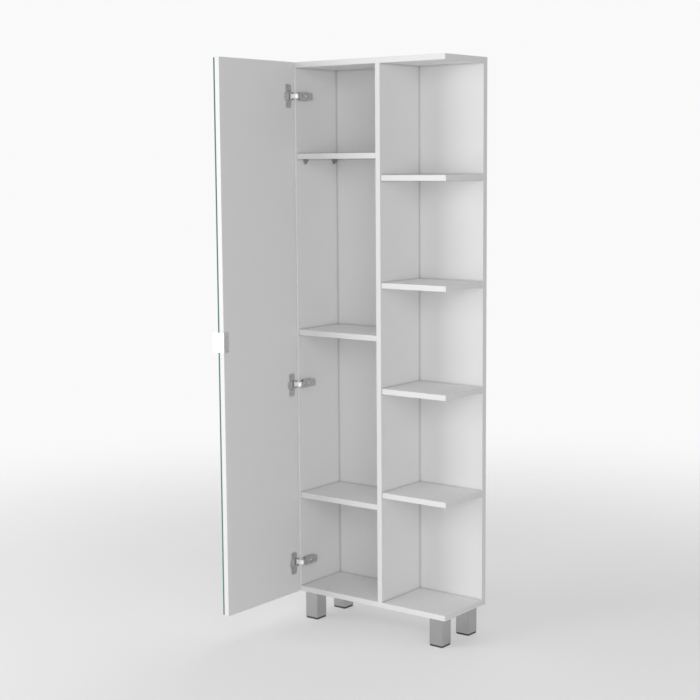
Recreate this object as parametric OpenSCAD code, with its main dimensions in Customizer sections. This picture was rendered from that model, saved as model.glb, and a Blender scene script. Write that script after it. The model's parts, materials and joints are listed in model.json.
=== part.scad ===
// Tall linen cabinet on four legs, in millimetres, +Z up.
// A mirrored door on the left hides three shelves; four more shelves on the right stand
// open at the front and at the right end. The door is drawn open, as it is seen in use.
// The origin is on the floor, under the centre of the carcass footprint.

/* [Carcass] */
// Overall width of the carcass
carcass_w = 508; // [440:1:700]
// Overall depth of the carcass, without the door
carcass_d = 200; // [180:1:400]
// Height of the carcass above the legs
carcass_h = 1486; // [1400:1:1900]
// Thickness of the side, divider, top, bottom and shelf boards
board_t = 15; // [14:0.5:19]
// Thickness of the back board
back_t = 18; // [12:0.5:22]
// Clear width of the bay behind the door
closed_bay_w = 271; // [240:0.5:340]

/* [Shelves behind the door] */
// Clear height of the lowest compartment
lowest_bay_h = 256; // [150:1:360]
// Clear height of the compartment above the lower shelf
second_bay_h = 449; // [330:1:520]
// Clear height of the top compartment
highest_bay_h = 233; // [180:0.5:330]
// Setback of these shelves from the front edges
inner_setback = 4.5; // [1:0.5:20]

/* [Open shelves] */
// Clear height of the lowest and of the highest open compartment
open_end_bay_h = 292; // [180:1:340]
// Setback of the open shelves from the front edges
open_setback = 3; // [0:0.5:20]

/* [Legs] */
// Side of the square leg
leg_w = 42; // [32:1:60]
// Length of the leg tube
leg_h = 72; // [50:1:140]
// Wall of the leg tube
leg_wall = 1.5; // [1:0.1:3]
// Corner radius of the leg tube
leg_corner_r = 2; // [1:0.1:4]
// Height of the glide below the tube
glide_h = 5; // [2:0.5:8]
// Inset of the glide from the faces of the leg
glide_inset = 1; // [0.5:0.1:1.4]
// Distance from the front edges to the front legs
leg_front_inset = 5; // [3:1:30]
// Distance from the rear face to the rear legs
leg_rear_inset = 25; // [3:1:30]
// Distance from the left end to the left legs
leg_left_inset = 27; // [16:1:60]
// Distance from the right end to the right legs
leg_right_inset = 12; // [4:1:60]

/* [Leg mountings] */
// Thickness of the plate that screws to the bottom board
leg_plate_t = 4; // [3:0.5:6]
// Depth of the plate's and the glide's skirt inside the tube
leg_skirt_h = 14; // [8:1:20]
// Wall of that skirt
leg_skirt_wall = 2; // [1.5:0.1:3]
// Distance between the leg screws, both ways
leg_screw_pitch = 20; // [14:1:24]

/* [Door] */
// Width of the door board
door_w = 301; // [270:1:360]
// Thickness of the door board
door_t = 15; // [15:0.5:19]
// Gap between the closed door and the front edges
door_gap = 2; // [2:0.1:4]
// Distance that the closed door stands in from the left end
door_reveal = 1; // [0:0.1:3]
// Angle by which the door is drawn open
door_open = 90; // [0:1:105]

/* [Mirror] */
// Thickness of the mirror glass
mirror_t = 5; // [3:0.5:6]
// Inset of the glass from the edges of the door board
mirror_inset = 1; // [0:0.5:20]
// Thickness of the tape that holds the mirror
tape_t = 1; // [0.5:0.1:2]
// Width of one strip of the tape
tape_w = 25; // [12:1:50]
// Distance from the ends of the glass to the ends of the tape
tape_end = 40; // [10:1:200]
// Distance from the sides of the glass to the outer strips
tape_side = 20; // [5:1:60]

/* [Edge pull] */
// Height of the pull
pull_h = 52; // [30:1:120]
// Thickness of the pull's sheet
pull_t = 1.5; // [1:0.1:1.8]
// Width of its flange on the inner face of the door
pull_flange_w = 18; // [14:0.5:30]
// Distance that the grip stands out past the glass
pull_grip = 16; // [8:0.5:40]
// Radius of the grip's outer corners
pull_corner_r = 6; // [2:0.5:14]
// Distance between the two screws of the pull
pull_screw_pitch = 32; // [16:1:36]

/* [Hinge places] */
// Distance from the top of the door to the upper hinge
hinge_top_inset = 92; // [60:1:140]
// Height of the middle hinge above the underside of the door
hinge_middle_h = 597; // [420:1:650]
// Height of the lower hinge above the underside of the door
hinge_bottom_h = 86; // [60:1:140]

/* [Hinge pin] */
// Radius of the hinge pin
pin_r = 1.25; // [1:0.05:1.5]
// Depth of the pin axis below the inner face of the door
pin_depth = 6; // [5.6:0.1:7]
// Gap left to the side board as the edge of the door swings past it
swing_gap = 0.5; // [0.3:0.1:0.6]
// Radius of the arm's knuckle round the pin
knuckle_r = 2.75; // [2.3:0.05:2.9]

/* [Hinge arm] */
// Sheet thickness of the arm
arm_t = 1.8; // [1.5:0.1:2]
// Height of the strap between the pin and the arm
strap_h = 12; // [10:0.5:17]
// Height of the arm over its plate
arm_h = 20; // [20:0.5:26]
// Distance from the side board to the outer face of the arm
arm_rise = 12.5; // [12:0.5:16]
// Distance from the front edge to the rear end of the arm
arm_reach = 60; // [56:1:80]
// Outer radius of the bend between strap and arm
arm_bend_r = 8; // [3:0.5:8]
// Corner radius of its rear end
arm_end_r = 4; // [2:0.5:9]
// Distance from the front edge to the adjusting screw
adjuster_y = 15; // [14:0.5:16]
// Distance from the front edge to the fixing screw
fixing_y = 34; // [33:0.5:36]

/* [Hinge plate] */
// Thickness of the plate's foot on the side board
foot_t = 2; // [1.5:0.1:3]
// Height of the plate's rail under the arm
rail_h = 14; // [12:0.5:16]
// Distance from the front edge to the front of the plate's foot
foot_front = 7; // [4:0.5:9]
// Distance from the front edge to the plate's first screw
plate_screw_y = 24.5; // [24:0.5:25]
// Distance between the plate's two screws
plate_screw_pitch = 22; // [20:0.5:26]

/* [Hinge cup] */
// Radius of the cup's boring in the door
cup_boring_r = 17.5; // [16:0.5:18]
// Distance from the edge of the door to the centre of the cup
cup_edge = 22.5; // [21.5:0.5:24]
// Depth of the boring
cup_depth = 11.3; // [10.8:0.1:12.5]
// Wall of the cup
cup_wall = 1.2; // [0.8:0.1:1.5]
// Thickness of the cup's flange
flange_t = 1.2; // [0.8:0.1:1.5]
// Width of the flange
flange_w = 22.5; // [20:0.5:30]
// Height of the flange
flange_h = 63; // [60:0.5:70]
// Corner radius of the flange
flange_corner_r = 5; // [2:0.5:9]
// Distance between the two screws of the cup
cup_screw_pitch = 48; // [46:0.5:50]
// Height of the cup's nose that holds the pin
nose_h = 22; // [21:0.5:24]
// Thickness of the two ears that the pin is seated in
ear_t = 1.5; // [1:0.1:2]

/* [Shelf supports] */
// Width of a support below the loose shelf
support_w = 10.5; // [9:1:24]
// Height of a support
support_h = 14; // [10:1:20]
// Distance that a support stands out under the shelf
support_reach = 9; // [8:0.5:16]
// Radius of the support's peg
peg_r = 2.5; // [2:0.25:3]
// Length of the peg in the board
peg_l = 9; // [6:0.5:11]
// Distance from the front edges to the front supports
support_front = 37.5; // [30:0.5:60]
// Distance from the back board to the rear supports
support_rear = 10; // [9:1:40]

/* [Carcass fastenings] */
// Length of a carcass screw
screw_l = 50; // [40:1:60]
// Radius of its head
screw_head_r = 5; // [4:0.25:5.5]
// Radius of its thread
screw_thread_r = 2.5; // [2:0.25:3]
// Length of a dowel
dowel_l = 30; // [25:1:35]
// Radius of a dowel
dowel_r = 4; // [3:0.5:4]
// Depth of a dowel in the board that it crosses into
dowel_seat = 10; // [7:0.5:11]
// Distance from a board's front and rear edges to its joint screws
joint_inset = 45; // [35:1:60]
// Distance from the ends of the back board to its joint screws
back_joint_inset = 60; // [40:1:100]
// Distance from the top and bottom to the first screws in the back board
rear_screw_inset = 130; // [100:1:200]

/* [Fits] */
// Radial clearance of the pin in the knuckle
running_gap = 0.05; // [0.02:0.01:0.1]
// Clearance round seated pins, pegs, dowels and screws
seat_gap = 0.1; // [0.05:0.01:0.2]
// Gap at each end of the knuckle, between the ears
knuckle_end_gap = 0.2; // [0.1:0.05:0.4]

/* [Hidden] */

// Smoothness of round faces
$fn = 48;
// Overlap of cutters past the face that they open
past = 1;

// Faces of the carcass
left_x = -carcass_w / 2;
right_x = carcass_w / 2;
front_y = -carcass_d / 2;
rear_y = carcass_d / 2;
under_z = leg_h + glide_h;
floor_z = under_z + board_t;
ceiling_z = under_z + carcass_h - board_t;
roof_z = under_z + carcass_h;
// Front face of the back board, and inner faces of the boards at each side
back_y = rear_y - back_t;
bay_left_x = left_x + board_t;
divider_x = bay_left_x + closed_bay_w;
open_left_x = divider_x + board_t;

// Undersides of the shelves behind the door
lower_shelf_z = floor_z + lowest_bay_h;
middle_shelf_z = lower_shelf_z + board_t + second_bay_h;
upper_shelf_z = ceiling_z - highest_bay_h - board_t;
// Undersides of the open shelves, spaced evenly between the end compartments
open_shelf_count = 4;
first_open_z = floor_z + open_end_bay_h;
last_open_z = ceiling_z - open_end_bay_h - board_t;
open_pitch = (last_open_z - first_open_z) / (open_shelf_count - 1);
function open_shelf_z(i) = first_open_z + i * open_pitch;

// Heights and depths at which the carcass boards are joined
board_mid = board_t / 2;
joint_front_y = front_y + joint_inset;
joint_rear_y = back_y - joint_inset;
joint_mid_y = (joint_front_y + joint_rear_y) / 2;
rear_screw_z = [under_z + rear_screw_inset,
    (lower_shelf_z + middle_shelf_z + board_t) / 2,
    (middle_shelf_z + upper_shelf_z + board_t) / 2,
    roof_z - rear_screw_inset];
upright_x = [left_x + board_mid, divider_x + board_mid];
fixed_inner_z = [lower_shelf_z, middle_shelf_z];
// Shank of a carcass screw: cone under the head, plain part and point
screw_cone_h = 3;
screw_plain_r = screw_thread_r + 1;
screw_plain_l = 12;
screw_point_h = 4;

// Centres of the legs
leg_x = [left_x + leg_left_inset + leg_w / 2, right_x - leg_right_inset - leg_w / 2];
leg_y = [front_y + leg_front_inset + leg_w / 2, rear_y - leg_rear_inset - leg_w / 2];
leg_bore_w = leg_w - 2 * leg_wall;
leg_screw_r = 2;
leg_screw_head_r = 3.8;
leg_screw_cone_h = 2.4;
leg_screw_bite = 11;

// The door's own frame: x from its hinge edge, y out of its inner face, z from its underside
door_h = carcass_h;
door_left_x = left_x + door_reveal;
door_inner_y = front_y - door_gap;
// The pin stands so far from the edge that the door's corner swings past the side board
pin_edge = sqrt(pow(door_gap + pin_depth - swing_gap, 2) - pow(pin_depth, 2));
pin_x = door_left_x + pin_edge;
pin_y = door_inner_y - pin_depth;
hinge_z = [hinge_bottom_h, hinge_middle_h, door_h - hinge_top_inset];
mirror_y = -door_t - tape_t;

// The hinge's own frame on the side board: x into the bay, y back from the front edge
arm_pin_x = pin_x - bay_left_x;
arm_pin_y = pin_y - front_y;
web_x = arm_rise - arm_t;
rail_end_y = arm_reach - 5;
foot_end_y = arm_reach - 3;
adjuster_r = 2.5;
fixing_r = 3;
fixing_head_r = 4.8;
fixing_head_h = 2.2;
thread_floor = 4;
plate_screw_r = 3;
plate_screw_head_r = 4.2;
plate_screw_head_h = 2.5;
plate_screw_bite = 11;
head_seat_x = foot_t + 2;

// The cup: its body stands clear of the boring, and the nose reaches the door's edge
cup_r = cup_boring_r - seat_gap;
cup_rim_r = cup_boring_r + 0.7;
cup_body_h = cup_depth - 0.3;
cup_inner_r = cup_r - cup_wall;
nose_edge = 0.2;
knuckle_h = nose_h - 2 * ear_t - 2 * knuckle_end_gap;
cup_screw_edge = cup_edge + 6;
cup_screw_r = 1.75;
cup_screw_head_r = 3.5;
cup_screw_l = 13;

pull_screw_r = 1.6;
pull_screw_head_r = 3;
pull_screw_l = 12;
pull_screw_edge = pull_flange_w / 2;

module white_board() { color("whitesmoke") children(); }
module grey_metal() { color("darkgray") children(); }
module black_plastic() { color("#2b2b2b") children(); }
module bright_steel() { color("silver") children(); }

// A square with round corners, centred
module rounded_square(w, r) {
    square([w, w - 2 * r], center = true);
    square([w - 2 * r, w], center = true);
    for (sx = [-1, 1], sy = [-1, 1])
        translate([sx * (w / 2 - r), sy * (w / 2 - r)]) circle(r);
}

// A rectangle with round corners, centred
module rounded_rect(w, h, r) {
    square([w, h - 2 * r], center = true);
    square([w - 2 * r, h], center = true);
    for (sx = [-1, 1], sy = [-1, 1])
        translate([sx * (w / 2 - r), sy * (h / 2 - r)]) circle(r);
}

// A countersunk screw along +Z, its head flush at z = 0; gap widens it into its hole
module countersunk(head_r, cone_h, shank_r, l, gap = 0) {
    rotate_extrude()
        polygon([[0, -gap], [head_r + gap, -gap], [head_r + gap, 0], [shank_r + gap, cone_h],
            [shank_r + gap, l - shank_r], [gap, l + gap], [0, l + gap]]);
}

// A carcass screw along +Z with its stout plain part below the head
module carcass_screw(gap = 0) {
    rotate_extrude()
        polygon([[0, -gap], [screw_head_r + gap, -gap], [screw_head_r + gap, 0],
            [screw_plain_r + gap, screw_cone_h], [screw_plain_r + gap, screw_plain_l],
            [screw_thread_r + gap, screw_plain_l + 0.5],
            [screw_thread_r + gap, screw_l - screw_point_h], [gap, screw_l + gap],
            [0, screw_l + gap]]);
}

module dowel(gap = 0) {
    translate([0, 0, -gap]) cylinder(h = dowel_l + 2 * gap, r = dowel_r + gap);
}

// Places of the screws down through the top board, into the uprights and the back
module at_top_screws() {
    for (x = upright_x, y = [joint_front_y, joint_rear_y])
        translate([x, y, roof_z]) rotate([180, 0, 0]) children();
    for (x = [left_x + back_joint_inset, right_x - back_joint_inset])
        translate([x, rear_y - back_t / 2, roof_z]) rotate([180, 0, 0]) children();
}

// Places of the screws up through the bottom board
module at_bottom_screws() {
    for (x = upright_x, y = [joint_front_y, joint_rear_y])
        translate([x, y, under_z]) children();
    for (x = [left_x + back_joint_inset, right_x - back_joint_inset])
        translate([x, rear_y - back_t / 2, under_z]) children();
}

// Places of the screws through the back board into one upright
module at_rear_screws(x) {
    for (z = rear_screw_z)
        translate([x, rear_y, z]) rotate([90, 0, 0]) children();
}

// Place of the screw through the back board into the middle of a shelf
module at_shelf_rear_screw(x0, x1, z) {
    translate([(x0 + x1) / 2, rear_y, z + board_mid]) rotate([90, 0, 0]) children();
}

// Places of the screws through the divider into an open shelf
module at_open_shelf_screws(z) {
    for (y = [joint_front_y, joint_rear_y])
        translate([divider_x, y, z + board_mid]) rotate([0, 90, 0]) children();
}

// Place of the dowel between those screws
module at_open_shelf_dowel(z) {
    translate([open_left_x - dowel_seat, joint_mid_y, z + board_mid])
        rotate([0, 90, 0]) children();
}

// Places of the four dowels that carry a fixed shelf behind the door
module at_inner_shelf_dowels(z) {
    for (y = [joint_front_y, joint_rear_y]) {
        translate([bay_left_x - dowel_seat, y, z + board_mid]) rotate([0, 90, 0]) children();
        translate([divider_x + dowel_seat, y, z + board_mid]) rotate([0, -90, 0]) children();
    }
}

// Places of the dowels between an upright and the top or bottom board
module at_upright_dowels() {
    for (x = upright_x) {
        translate([x, joint_mid_y, floor_z - dowel_seat]) children();
        translate([x, joint_mid_y, ceiling_z + dowel_seat]) rotate([180, 0, 0]) children();
    }
}

// Places of the loose shelf's supports, each facing into the bay
module at_supports() {
    for (y = [front_y + support_front, back_y - support_rear - support_w / 2]) {
        translate([bay_left_x, y, upper_shelf_z]) children();
        translate([divider_x, y, upper_shelf_z]) rotate([0, 0, 180]) children();
    }
}

module at_leg(i, j) {
    translate([leg_x[i], leg_y[j], 0]) children();
}

module at_leg_screws() {
    for (i = [0, 1], j = [0, 1], sx = [-1, 1], sy = [-1, 1])
        at_leg(i, j)
            translate([sx * leg_screw_pitch / 2, sy * leg_screw_pitch / 2, under_z - leg_plate_t])
                children();
}

// Frame of one hinge on the side board
module at_hinge(i) {
    translate([bay_left_x, front_y, under_z + hinge_z[i]]) children();
}

// Turns a child's z axis out of the side board, into the bay
module out_of_board(y, x = 0) {
    translate([x, y, 0]) rotate([0, 90, 0]) children();
}

// Frame of the door, turned open about the hinge pins
module on_door() {
    translate([pin_x, pin_y, under_z]) rotate([0, 0, -door_open])
        translate([-pin_edge, pin_depth, 0]) children();
}

// Frame of one hinge cup, at the centre line of the hinge on the door's edge
module at_cup(i) {
    translate([0, 0, hinge_z[i]]) children();
}

// Turns a child's z axis into the door
module into_door(x, z, y = 0) {
    translate([x, y, z]) rotate([90, 0, 0]) children();
}

module at_cup_screws() {
    for (s = [-1, 1])
        into_door(cup_screw_edge, s * cup_screw_pitch / 2, flange_t) children();
}

module at_pull_screws() {
    for (s = [-1, 1])
        into_door(door_w - pull_screw_edge, door_h / 2 + s * pull_screw_pitch / 2, pull_t)
            children();
}

module left_side_panel() {
    white_board() difference() {
        translate([left_x, front_y, floor_z])
            cube([board_t, carcass_d - back_t, ceiling_z - floor_z]);
        at_top_screws() carcass_screw(seat_gap);
        at_bottom_screws() carcass_screw(seat_gap);
        at_rear_screws(upright_x[0]) carcass_screw(seat_gap);
        at_upright_dowels() dowel(seat_gap);
        for (z = fixed_inner_z) at_inner_shelf_dowels(z) dowel(seat_gap);
        at_supports() support_peg(seat_gap);
        for (i = [0:2]) at_hinge(i) at_plate_screws() plate_screw(seat_gap);
    }
}

module divider_panel() {
    white_board() difference() {
        translate([divider_x, front_y, floor_z])
            cube([board_t, carcass_d - back_t, ceiling_z - floor_z]);
        at_top_screws() carcass_screw(seat_gap);
        at_bottom_screws() carcass_screw(seat_gap);
        at_rear_screws(upright_x[1]) carcass_screw(seat_gap);
        at_upright_dowels() dowel(seat_gap);
        for (z = fixed_inner_z) at_inner_shelf_dowels(z) dowel(seat_gap);
        for (i = [0:open_shelf_count - 1]) {
            at_open_shelf_screws(open_shelf_z(i)) carcass_screw(seat_gap);
            at_open_shelf_dowel(open_shelf_z(i)) dowel(seat_gap);
        }
        at_supports() support_peg(seat_gap);
    }
}

module top_panel() {
    white_board() difference() {
        translate([left_x, front_y, ceiling_z]) cube([carcass_w, carcass_d, board_t]);
        at_top_screws() carcass_screw(seat_gap);
        at_upright_dowels() dowel(seat_gap);
    }
}

module bottom_panel() {
    white_board() difference() {
        translate([left_x, front_y, under_z]) cube([carcass_w, carcass_d, board_t]);
        at_bottom_screws() carcass_screw(seat_gap);
        at_upright_dowels() dowel(seat_gap);
        at_leg_screws() leg_screw(seat_gap);
    }
}

module back_panel() {
    white_board() difference() {
        translate([left_x, back_y, floor_z]) cube([carcass_w, back_t, ceiling_z - floor_z]);
        at_top_screws() carcass_screw(seat_gap);
        at_bottom_screws() carcass_screw(seat_gap);
        for (x = upright_x) at_rear_screws(x) carcass_screw(seat_gap);
        for (z = fixed_inner_z)
            at_shelf_rear_screw(bay_left_x, divider_x, z) carcass_screw(seat_gap);
        for (i = [0:open_shelf_count - 1])
            at_shelf_rear_screw(open_left_x, right_x, open_shelf_z(i)) carcass_screw(seat_gap);
    }
}

// A shelf behind the door, from side board to divider
module inner_shelf(z) {
    translate([bay_left_x, front_y + inner_setback, z])
        cube([closed_bay_w, back_y - front_y - inner_setback, board_t]);
}

module fixed_inner_shelf(z) {
    white_board() difference() {
        inner_shelf(z);
        at_inner_shelf_dowels(z) dowel(seat_gap);
        at_shelf_rear_screw(bay_left_x, divider_x, z) carcass_screw(seat_gap);
    }
}

module open_shelf(i) {
    white_board() difference() {
        translate([open_left_x, front_y + open_setback, open_shelf_z(i)])
            cube([right_x - open_left_x, back_y - front_y - open_setback, board_t]);
        at_open_shelf_screws(open_shelf_z(i)) carcass_screw(seat_gap);
        at_open_shelf_dowel(open_shelf_z(i)) dowel(seat_gap);
        at_shelf_rear_screw(open_left_x, right_x, open_shelf_z(i)) carcass_screw(seat_gap);
    }
}

// The peg of a shelf support, into the board behind it
module support_peg(gap = 0) {
    translate([-peg_l - gap, 0, -support_h / 2]) rotate([0, 90, 0])
        cylinder(h = peg_l + gap, r = peg_r + gap);
}

// A support: a ledge under the shelf on a bracket that tapers down and back to the board
module shelf_support() {
    ledge = 5;
    tip_w = 4;
    intersection() {
        rotate([90, 0, 90]) linear_extrude(support_reach)
            polygon([[-support_w / 2, 0], [-support_w / 2, -ledge], [-tip_w / 2, -support_h],
                [tip_w / 2, -support_h], [support_w / 2, -ledge], [support_w / 2, 0]]);
        rotate([90, 0, 0]) linear_extrude(support_w + 2 * past, center = true)
            polygon([[0, 0], [support_reach, 0], [support_reach, -ledge], [tip_w, -support_h],
                [0, -support_h]]);
    }
    support_peg();
}

module shelf_supports() {
    color("dimgray") at_supports() shelf_support();
}

module carcass_screws() {
    bright_steel() {
        at_top_screws() carcass_screw();
        at_bottom_screws() carcass_screw();
        for (x = upright_x) at_rear_screws(x) carcass_screw();
        for (z = fixed_inner_z) at_shelf_rear_screw(bay_left_x, divider_x, z) carcass_screw();
        for (i = [0:open_shelf_count - 1]) {
            at_open_shelf_screws(open_shelf_z(i)) carcass_screw();
            at_shelf_rear_screw(open_left_x, right_x, open_shelf_z(i)) carcass_screw();
        }
    }
}

module wooden_dowels() {
    color("burlywood") {
        at_upright_dowels() dowel();
        for (z = fixed_inner_z) at_inner_shelf_dowels(z) dowel();
        for (i = [0:open_shelf_count - 1]) at_open_shelf_dowel(open_shelf_z(i)) dowel();
    }
}

// The square tube of a leg
module leg(i, j) {
    grey_metal() at_leg(i, j) translate([0, 0, glide_h]) difference() {
        linear_extrude(leg_h) rounded_square(leg_w, leg_corner_r);
        translate([0, 0, -past]) linear_extrude(leg_h + 2 * past)
            square(leg_bore_w, center = true);
    }
}

// The skirt that the glide and the plate push into the tube
module leg_skirt() {
    skirt_w = leg_bore_w - 2 * seat_gap;
    linear_extrude(leg_skirt_h) difference() {
        square(skirt_w, center = true);
        square(skirt_w - 2 * leg_skirt_wall, center = true);
    }
}

// The glide: a tread below the tube, its skirt inside, and ribs across
module glide(i, j) {
    black_plastic() at_leg(i, j) {
        linear_extrude(glide_h) rounded_square(leg_w - 2 * glide_inset, leg_corner_r);
        translate([0, 0, glide_h]) {
            leg_skirt();
            for (a = [0, 90])
                rotate([0, 0, a]) translate([0, 0, leg_skirt_h / 4])
                    cube([leg_bore_w - leg_skirt_wall, leg_skirt_wall, leg_skirt_h / 2],
                        center = true);
        }
    }
}

// The plate at the head of a leg, screwed to the bottom board
module leg_plate(i, j) {
    black_plastic() difference() {
        at_leg(i, j) {
            translate([0, 0, under_z - leg_plate_t])
                linear_extrude(leg_plate_t) square(leg_bore_w - 2 * seat_gap, center = true);
            translate([0, 0, under_z - leg_skirt_h]) leg_skirt();
        }
        at_leg_screws() leg_screw(seat_gap);
    }
}

module leg_screw(gap = 0) {
    countersunk(leg_screw_head_r, leg_screw_cone_h, leg_screw_r, leg_plate_t + leg_screw_bite, gap);
}

module leg_screws() {
    bright_steel() at_leg_screws() leg_screw();
}

// A plate screw out of the side board: a flat head on a stout shank
module plate_screw(gap = 0) {
    translate([0, 0, -plate_screw_bite - gap])
        cylinder(h = plate_screw_bite + head_seat_x + 2 * gap, r = plate_screw_r + gap);
    translate([0, 0, head_seat_x])
        cylinder(h = plate_screw_head_h, r = plate_screw_head_r);
}

module at_plate_screws() {
    for (y = [plate_screw_y, plate_screw_y + plate_screw_pitch]) out_of_board(y) children();
}

// The plate under an arm: a flat foot with a raised rail, bored for four screws
module hinge_plate(i) {
    grey_metal() at_hinge(i) difference() {
        union() {
            out_of_board((foot_front + foot_end_y) / 2)
                linear_extrude(foot_t) rounded_rect(arm_h, foot_end_y - foot_front, 4);
            out_of_board((foot_front + past + rail_end_y) / 2)
                linear_extrude(web_x) rounded_rect(rail_h, rail_end_y - foot_front - past, 3);
        }
        at_plate_screws() plate_screw(seat_gap);
        at_plate_screws() translate([0, 0, head_seat_x])
            cylinder(h = web_x, r = plate_screw_head_r + seat_gap);
        out_of_board(adjuster_y, thread_floor - seat_gap) cylinder(h = web_x, r = adjuster_r + seat_gap);
        out_of_board(fixing_y, thread_floor - seat_gap) cylinder(h = web_x, r = fixing_r + seat_gap);
    }
}

// Plan of the strap from the pin to the bend, where it turns back along the side board
module strap_plan() {
    bend_x = arm_rise - arm_bend_r;
    bend_y = arm_pin_y - arm_t / 2 + arm_bend_r;
    translate([arm_pin_x, arm_pin_y - arm_t / 2]) square([bend_x - arm_pin_x, arm_t]);
    translate([web_x, bend_y]) square([arm_t, past - bend_y]);
    translate([bend_x, bend_y]) intersection() {
        difference() {
            circle(arm_bend_r);
            circle(arm_bend_r - arm_t);
        }
        translate([0, -arm_bend_r]) square(arm_bend_r);
    }
}

// Outline of the arm's web, seen from the bay: y back, z up
module web_outline() {
    flare_y = 6;
    polygon([[0, -strap_h / 2], [flare_y, -arm_h / 2], [flare_y, arm_h / 2], [0, strap_h / 2]]);
    translate([flare_y, -arm_h / 2]) square([arm_reach - arm_end_r - flare_y, arm_h]);
    translate([arm_reach - arm_end_r, arm_end_r - arm_h / 2])
        square([arm_end_r, arm_h - 2 * arm_end_r]);
    for (s = [-1, 1])
        translate([arm_reach - arm_end_r, s * (arm_h / 2 - arm_end_r)]) circle(arm_end_r);
}

// Side wall of the arm, seen from above: y back, x out of the board
module arm_wall() {
    wall_front = 8;
    wall_rear = arm_reach - arm_end_r;
    lip = foot_t + 1;
    slope = 6;
    polygon([[wall_front, arm_rise], [wall_front, lip + slope], [wall_front + slope, lip],
        [wall_rear - slope, lip], [wall_rear, lip + slope], [wall_rear, arm_rise]]);
}

// The arm: knuckle, strap, bend, and a channel that sits over the plate
module hinge_arm(i) {
    bright_steel() at_hinge(i) difference() {
        union() {
            linear_extrude(strap_h, center = true) strap_plan();
            translate([arm_pin_x, arm_pin_y, 0])
                cylinder(h = knuckle_h, r = knuckle_r, center = true);
            translate([web_x, 0, 0]) rotate([90, 0, 90]) linear_extrude(arm_t) web_outline();
            for (s = [-1, 1])
                translate([0, 0, s * (arm_h - arm_t) / 2 - arm_t / 2]) linear_extrude(arm_t)
                    mirror([1, -1]) arm_wall();
        }
        translate([arm_pin_x, arm_pin_y, 0])
            cylinder(h = knuckle_h + 2 * past, r = pin_r + running_gap, center = true);
        out_of_board(adjuster_y, thread_floor) cylinder(h = arm_rise, r = adjuster_r + 0.8);
        for (dy = [-1.5, 1.5])
            out_of_board(fixing_y + dy, thread_floor) cylinder(h = arm_rise, r = fixing_r + 0.3);
        translate([thread_floor, fixing_y - 1.5, -fixing_r - 0.3])
            cube([arm_rise, 3, 2 * fixing_r + 0.6]);
    }
}

module hinge_plate_screws() {
    bright_steel() for (i = [0:2]) at_hinge(i) at_plate_screws() plate_screw();
}

// The screws that clamp the arms to their plates
module arm_fixing_screws() {
    bright_steel() for (i = [0:2]) at_hinge(i) {
        out_of_board(fixing_y, thread_floor) cylinder(h = arm_rise - thread_floor, r = fixing_r);
        out_of_board(fixing_y, arm_rise) cylinder(h = fixing_head_h, r = fixing_head_r);
    }
}

// The screws that set the door sideways, sunk in the arms
module arm_adjusting_screws() {
    bright_steel() for (i = [0:2]) at_hinge(i)
        out_of_board(adjuster_y, thread_floor)
            cylinder(h = arm_rise - arm_t / 2 - thread_floor, r = adjuster_r);
}

// The cut for a cup in the door: the round boring, and the notch to the edge for the nose
module cup_boring() {
    into_door(cup_edge, 0, past) cylinder(h = cup_depth + past, r = cup_boring_r);
    translate([-past, -cup_depth, -nose_h / 2 - seat_gap])
        cube([cup_edge + past, cup_depth + past, nose_h + 2 * seat_gap]);
}

module door_panel() {
    white_board() on_door() difference() {
        translate([0, -door_t, 0]) cube([door_w, door_t, door_h]);
        for (i = [0:2]) at_cup(i) {
            cup_boring();
            at_cup_screws() cup_screw(seat_gap);
        }
        at_pull_screws() pull_screw(seat_gap);
    }
}

module door_mirror() {
    color("lightcyan") on_door() translate([mirror_inset, mirror_y - mirror_t, mirror_inset])
        cube([door_w - 2 * mirror_inset, mirror_t, door_h - 2 * mirror_inset]);
}

// Three strips of tape between the door board and the glass
module mirror_tape() {
    strip_x0 = mirror_inset + tape_side;
    strip_x1 = door_w - mirror_inset - tape_side - tape_w;
    strip_z = mirror_inset + tape_end;
    color("white") on_door()
        for (x = [strip_x0, (strip_x0 + strip_x1) / 2, strip_x1])
            translate([x, mirror_y, strip_z]) cube([tape_w, tape_t, door_h - 2 * strip_z]);
}

// Outline of the cup's flange on the door: wings above and below the round rim
module flange_outline() {
    translate([cup_edge + past, 0]) rounded_rect(flange_w, flange_h, flange_corner_r);
    translate([cup_edge, 0]) circle(cup_rim_r);
}

// A hinge cup: the drawn cup and its flange, with a nose that holds the pin at the door's edge
module hinge_cup(i) {
    bright_steel() on_door() at_cup(i) difference() {
        union() {
            into_door(0, 0, flange_t) linear_extrude(flange_t) flange_outline();
            into_door(cup_edge, 0) cylinder(h = cup_body_h, r = cup_r);
            translate([nose_edge, -cup_body_h, -nose_h / 2])
                cube([cup_edge - nose_edge, cup_body_h, nose_h]);
        }
        into_door(cup_edge, 0, flange_t + past)
            cylinder(h = cup_body_h - cup_wall + flange_t + past, r = cup_inner_r);
        translate([nose_edge + cup_wall, cup_wall - cup_body_h, ear_t - nose_h / 2])
            cube([cup_edge, cup_body_h + flange_t, nose_h - 2 * ear_t]);
        translate([pin_edge, -pin_depth, -nose_h])
            cylinder(h = 2 * nose_h, r = pin_r + running_gap / 2);
        at_cup_screws() cup_screw(seat_gap);
    }
}

module hinge_pins() {
    bright_steel() on_door() for (i = [0:2]) at_cup(i)
        translate([pin_edge, -pin_depth, 0]) cylinder(h = nose_h, r = pin_r, center = true);
}

module cup_screw(gap = 0) {
    countersunk(cup_screw_head_r, flange_t + 1, cup_screw_r, cup_screw_l, gap);
}

module cup_screws() {
    bright_steel() on_door() for (i = [0:2]) at_cup(i) at_cup_screws() cup_screw();
}

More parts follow.
